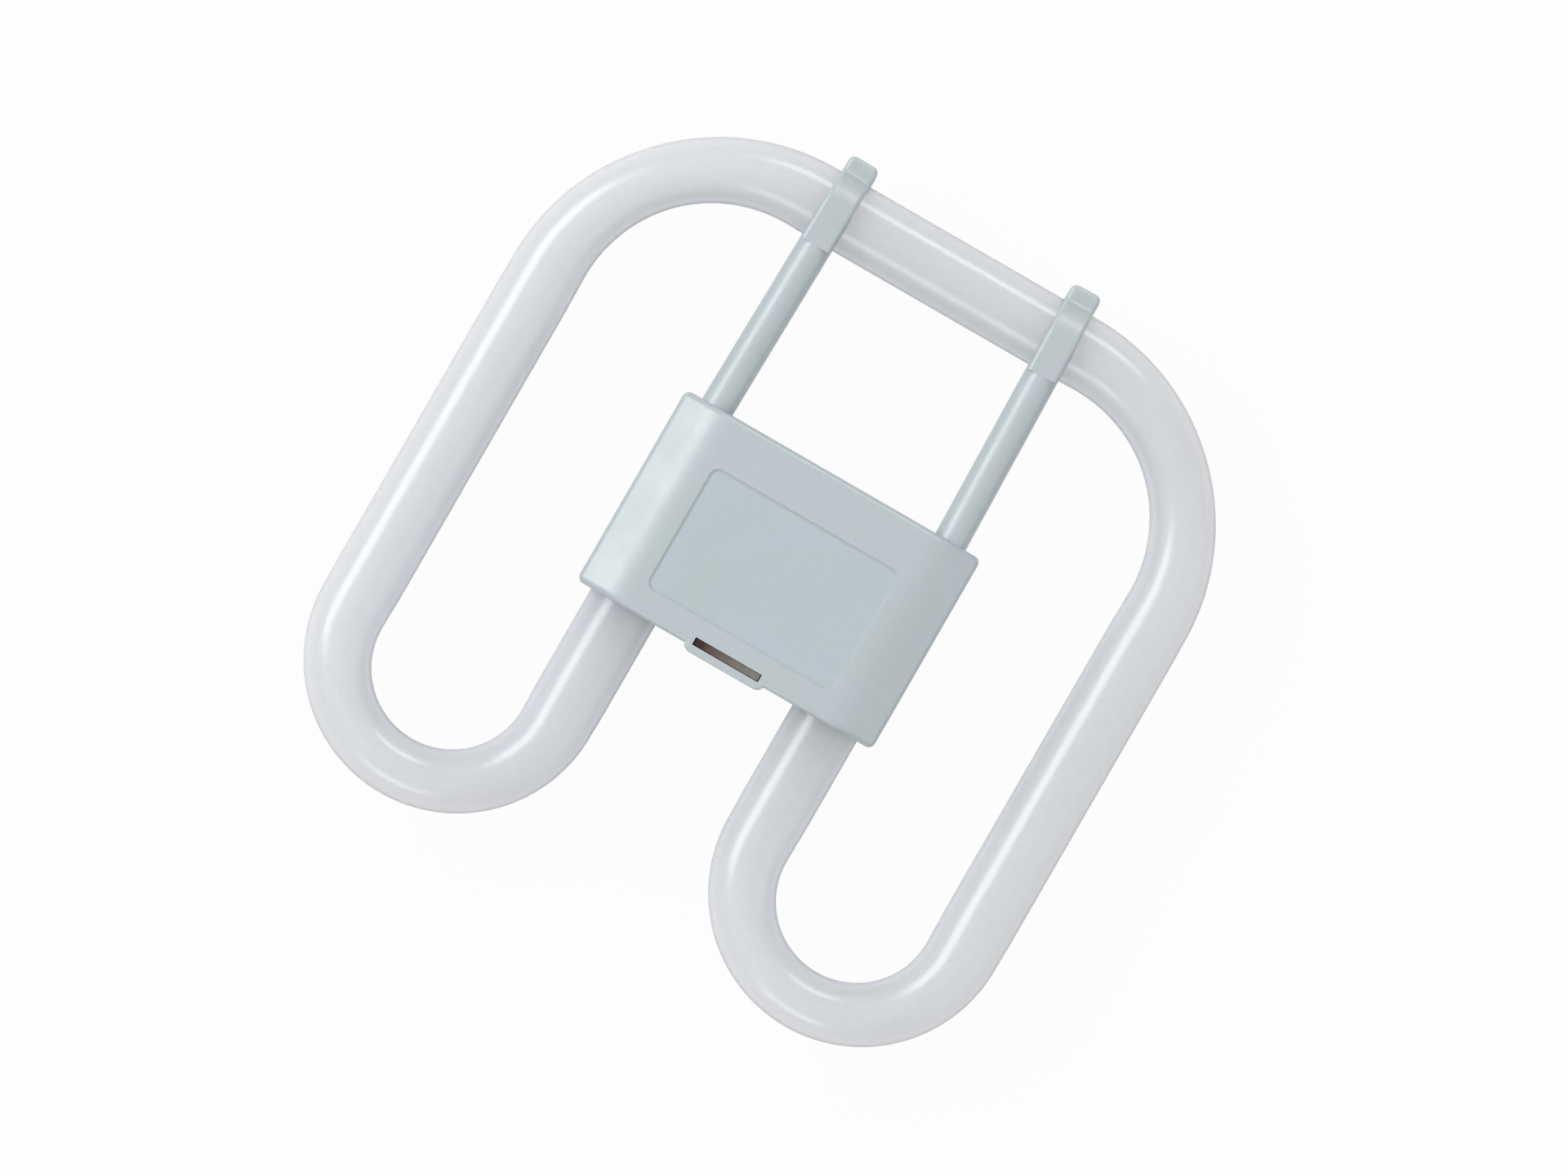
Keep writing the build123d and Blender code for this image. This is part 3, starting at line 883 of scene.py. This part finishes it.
def studio_lamps():
    """Soft boxes on the lamp's four sides; the one on the right is a faint fill."""
    soft_box("key_box", toward=176, tilt=49, width=26, length=42, brightness=5.0)
    soft_box("fill_box", toward=0, tilt=66, width=41, length=62, brightness=0.6)
    soft_box("head_box", toward=90, tilt=60, width=14, length=28, brightness=5.0)
    soft_box("foot_box", toward=270, tilt=60, width=18, length=28, brightness=2.8)


def picture_camera(settings):
    """Long-lens camera straight above the lamp, with the lamp turned in the picture."""
    data = bpy.data.cameras.new("camera")
    data.sensor_fit = "HORIZONTAL"
    data.lens = data.sensor_width * settings.camera_height / settings.view_width
    camera = bpy.data.objects.new("camera", data)
    turn = settings.lamp_turn
    right = Vector((math.cos(turn), math.sin(turn), 0))
    up = Vector((-math.sin(turn), math.cos(turn), 0))
    rotation = Matrix((right, up, Vector((0, 0, 1)))).transposed().to_4x4()
    middle_z = (tube_low.z + tube_high.z) / 2
    place = Vector((settings.aim_x, settings.aim_y, middle_z + settings.camera_height))
    camera.matrix_world = Matrix.Translation(place) @ rotation
    bpy.context.scene.collection.objects.link(camera)
    bpy.context.scene.camera = camera


class LAMP_OT_stage(bpy.types.Operator):
    """Set the floor, the surround, the soft boxes and the camera"""

    bl_idname = "lamp.stage"
    bl_label = "Stage"
    bl_options = {"REGISTER", "UNDO"}

    def execute(self, context):
        settings = context.scene.lamp_stage
        context.scene.view_settings.view_transform = "Standard"
        pale_floor(settings)
        pale_surround(settings)
        studio_lamps()
        picture_camera(settings)
        return {"FINISHED"}


class LAMP_PT_sidebar(bpy.types.Panel):
    """Lists the lamp's operators and settings"""

    bl_idname = "LAMP_PT_sidebar"
    bl_label = "Square Lamp"
    bl_space_type = "VIEW_3D"
    bl_region_type = "UI"
    bl_category = "Lamp"

    def draw(self, context):
        layout = self.layout
        for operator in OPERATORS:
            layout.operator(operator.bl_idname)
        for group, owner in SETTINGS.items():
            box = layout.box()
            box.label(text=group)
            settings = getattr(context.scene, group)
            for name in owner.__annotations__:
                box.prop(settings, name)


SETTINGS = {
    "lamp_tube": TubeSettings,
    "lamp_housing": HousingSettings,
    "lamp_fittings": FittingSettings,
    "lamp_stage": StageSettings,
}
OPERATORS = (
    LAMP_OT_glass_tube,
    LAMP_OT_housings,
    LAMP_OT_contact_pins,
    LAMP_OT_starter_set,
    LAMP_OT_wiring,
    LAMP_OT_stage,
)


def register():
    """Registers the classes and puts the settings on the scene."""
    for owner in (*SETTINGS.values(), *OPERATORS, LAMP_PT_sidebar):
        bpy.utils.register_class(owner)
    for group, owner in SETTINGS.items():
        setattr(bpy.types.Scene, group, PointerProperty(type=owner))


def unregister():
    """Takes the settings and the classes away again."""
    for group in SETTINGS:
        delattr(bpy.types.Scene, group)
    for owner in reversed((*SETTINGS.values(), *OPERATORS, LAMP_PT_sidebar)):
        bpy.utils.unregister_class(owner)


def main():
    """Builds the lamp and its stage in order."""
    register()
    bpy.ops.lamp.glass_tube()
    bpy.ops.lamp.housings()
    bpy.ops.lamp.contact_pins()
    bpy.ops.lamp.starter_set()
    bpy.ops.lamp.wiring()
    bpy.ops.lamp.stage()


if __name__ == "__main__":
    main()
